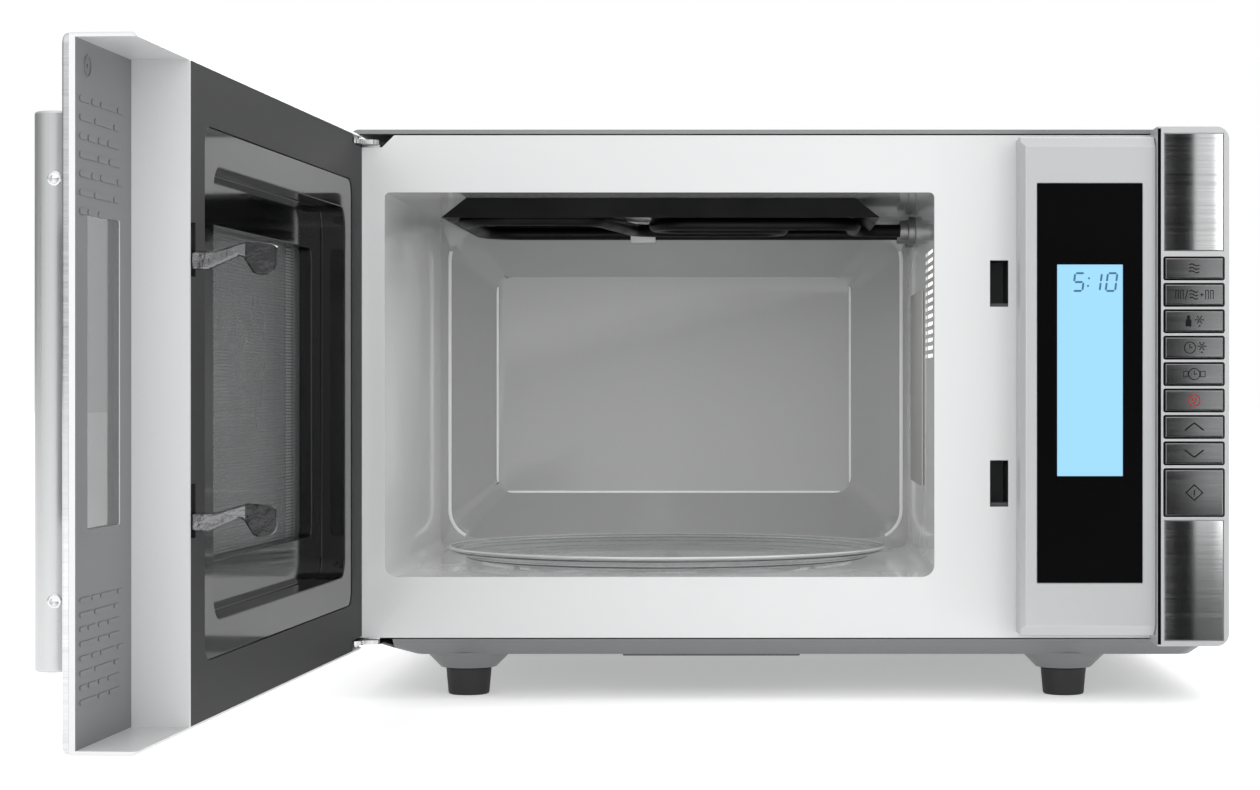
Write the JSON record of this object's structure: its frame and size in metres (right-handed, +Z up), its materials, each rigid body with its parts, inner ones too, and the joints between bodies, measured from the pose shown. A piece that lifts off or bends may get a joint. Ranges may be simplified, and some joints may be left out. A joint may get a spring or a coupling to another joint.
{
  "type": "microwave oven",
  "caption": "Countertop microwave oven with grill and glass turntable; side-hinged door standing open, tubular handle, key column and display at the right.",
  "frame": {"origin": "on the surface that the feet stand on, under the middle of the box around the oven with its door open; the cabinet's mid-width is at X = +39.7 mm and the front plate's face at Y = +42.9 mm", "axes": "+Z up, +Y from the front to the back, +X to the right as seen from the front"},
  "size_m": [0.5723, 0.8178, 0.323],
  "materials": {
    "casing_paint": "satin light grey powder coat",
    "white_enamel": "gloss white enamel",
    "cavity_enamel": "gloss light grey enamel",
    "galvanised_sheet": "matte galvanised steel",
    "base_sheet": "satin grey",
    "foot_rubber": "matte black",
    "silver_plastic": "satin silver paint",
    "black_gloss": "high gloss",
    "lcd": "light blue display",
    "brushed_trim": "brushed steel",
    "key_plastic": "satin silver",
    "choke_plastic": "fine textured dark grey",
    "window_glass": "clear",
    "dark_glass": "tinted",
    "screen_metal": "black perforated sheet",
    "tray_glass": "clear pressed glass",
    "polished_steel": "bright steel",
    "handle_steel": "brushed steel",
    "grill_metal": "dark heat-toned metal",
    "mica": "mica sheet",
    "grey_plastic": "moulded",
    "white_plastic": "satin white",
    "circuit_green": "solder mask",
    "copper_winding": "enamelled copper",
    "latch_metal": "bright zinc"
  },
  "bodies": {
    "oven": {"outer_casing": "casing_paint", "rear_panel": "galvanised_sheet", "base_pan": "base_sheet", "feet": "foot_rubber", "front_plate": "white_enamel", "cavity_liner": "cavity_enamel", "cavity_ceiling": "cavity_enamel", "cavity_back": "cavity_enamel", "grill_element": "grill_metal", "grill_reflector": "grill_metal", "grill_clip": "galvanised_sheet", "grill_bushes": "grill_metal", "waveguide_cover": "mica", "turntable_motor": "galvanised_sheet", "control_fascia": "silver_plastic", "display_panel": "black_gloss", "lcd_display": "lcd", "key_column": "silver_plastic", "trim_panels": "brushed_trim", "control_board": "circuit_green", "latch_interlock": "grey_plastic", "door_switches": "grey_plastic", "waveguide": "galvanised_sheet", "magnetron": "galvanised_sheet", "transformer": "copper_winding", "capacitor": "galvanised_sheet", "fan_housing": "grey_plastic", "fan_motor": "galvanised_sheet", "cavity_lamp": "window_glass", "cord_gland": "choke_plastic", "casing_screws": "polished_steel", "hinge_brackets": "polished_steel"},
    "door": {"door_panel": "brushed_trim", "door_glass": "dark_glass", "door_frame": "white_plastic", "choke_cover": "choke_plastic", "window_bezel": "black_gloss", "inner_window": "window_glass", "window_screen": "screen_metal", "display_window": "dark_glass", "handle_tube": "handle_steel", "handle_posts": "polished_steel", "latch_spring": "polished_steel"},
    "latch_lever": {"latch_hooks": "latch_metal"},
    "turntable": {"glass_tray": "tray_glass", "turntable_coupler": "white_plastic"},
    "roller_ring": {"roller_ring": "white_plastic"},
    "roller_1": {"roller_1": "white_plastic"},
    "roller_2": {"roller_2": "white_plastic"},
    "roller_3": {"roller_3": "white_plastic"},
    "fan": {"fan_blade": "grey_plastic"},
    "microwave_key": {"microwave_key": "key_plastic"},
    "grill_key": {"grill_key": "key_plastic"},
    "weight_key": {"weight_key": "key_plastic"},
    "defrost_key": {"defrost_key": "key_plastic"},
    "clock_key": {"clock_key": "key_plastic"},
    "stop_key": {"stop_key": "key_plastic"},
    "up_key": {"up_key": "key_plastic"},
    "down_key": {"down_key": "key_plastic"},
    "start_key": {"start_key": "key_plastic"}
  },
  "joints": [
    {"name": "door_hinge", "type": "hinge", "parent": "oven", "child": "door", "pos_m": [-0.2028, 0.0379, 0.175], "axis": [0, 0, -1], "range_deg": [-93.3, 6.7]},
    {"name": "latch_slide", "type": "slide", "parent": "door", "child": "latch_lever", "axis": [0, 0, 1], "range_m": [0, 0.005], "stiffness_N_per_m": 150, "springref_m": -0.004},
    {"name": "turntable_spin", "type": "hinge", "parent": "oven", "child": "turntable", "pos_m": [-0.0313, 0.1844, 0.07], "axis": [0, 0, 1], "continuous": true},
    {"name": "ring_spin", "type": "hinge", "parent": "oven", "child": "roller_ring", "pos_m": [-0.0313, 0.1844, 0.0641], "axis": [0, 0, 1], "continuous": true},
    {"name": "roller_1_spin", "type": "hinge", "parent": "roller_ring", "child": "roller_1", "pos_m": [-0.0313, 0.2834, 0.0641], "axis": [0, -1, 0], "continuous": true},
    {"name": "roller_2_spin", "type": "hinge", "parent": "roller_ring", "child": "roller_2", "pos_m": [-0.11704, 0.1349, 0.0641], "axis": [0.866, 0.5, 0], "continuous": true},
    {"name": "roller_3_spin", "type": "hinge", "parent": "roller_ring", "child": "roller_3", "pos_m": [0.05444, 0.1349, 0.0641], "axis": [-0.866, 0.5, 0], "continuous": true},
    {"name": "fan_spin", "type": "hinge", "parent": "oven", "child": "fan", "pos_m": [0.2117, 0.3679, 0.246], "axis": [0, 1, 0], "continuous": true},
    {"name": "microwave_press", "type": "slide", "parent": "oven", "child": "microwave_key", "axis": [0, 1, 0], "range_m": [0, 0.0012], "stiffness_N_per_m": 400, "springref_m": -0.0006},
    {"name": "grill_press", "type": "slide", "parent": "oven", "child": "grill_key", "axis": [0, 1, 0], "range_m": [0, 0.0012], "stiffness_N_per_m": 400, "springref_m": -0.0006},
    {"name": "weight_press", "type": "slide", "parent": "oven", "child": "weight_key", "axis": [0, 1, 0], "range_m": [0, 0.0012], "stiffness_N_per_m": 400, "springref_m": -0.0006},
    {"name": "defrost_press", "type": "slide", "parent": "oven", "child": "defrost_key", "axis": [0, 1, 0], "range_m": [0, 0.0012], "stiffness_N_per_m": 400, "springref_m": -0.0006},
    {"name": "clock_press", "type": "slide", "parent": "oven", "child": "clock_key", "axis": [0, 1, 0], "range_m": [0, 0.0012], "stiffness_N_per_m": 400, "springref_m": -0.0006},
    {"name": "stop_press", "type": "slide", "parent": "oven", "child": "stop_key", "axis": [0, 1, 0], "range_m": [0, 0.0012], "stiffness_N_per_m": 400, "springref_m": -0.0006},
    {"name": "up_press", "type": "slide", "parent": "oven", "child": "up_key", "axis": [0, 1, 0], "range_m": [0, 0.0012], "stiffness_N_per_m": 400, "springref_m": -0.0006},
    {"name": "down_press", "type": "slide", "parent": "oven", "child": "down_key", "axis": [0, 1, 0], "range_m": [0, 0.0012], "stiffness_N_per_m": 400, "springref_m": -0.0006},
    {"name": "start_press", "type": "slide", "parent": "oven", "child": "start_key", "axis": [0, 1, 0], "range_m": [0, 0.0012], "stiffness_N_per_m": 400, "springref_m": -0.0006}
  ],
  "couplings": [
    {"joint": "ring_spin", "follows": "turntable_spin", "ratio": 0.5},
    {"joint": "roller_1_spin", "follows": "turntable_spin", "ratio": 7.5},
    {"joint": "roller_2_spin", "follows": "turntable_spin", "ratio": 7.5},
    {"joint": "roller_3_spin", "follows": "turntable_spin", "ratio": 7.5}
  ]
}
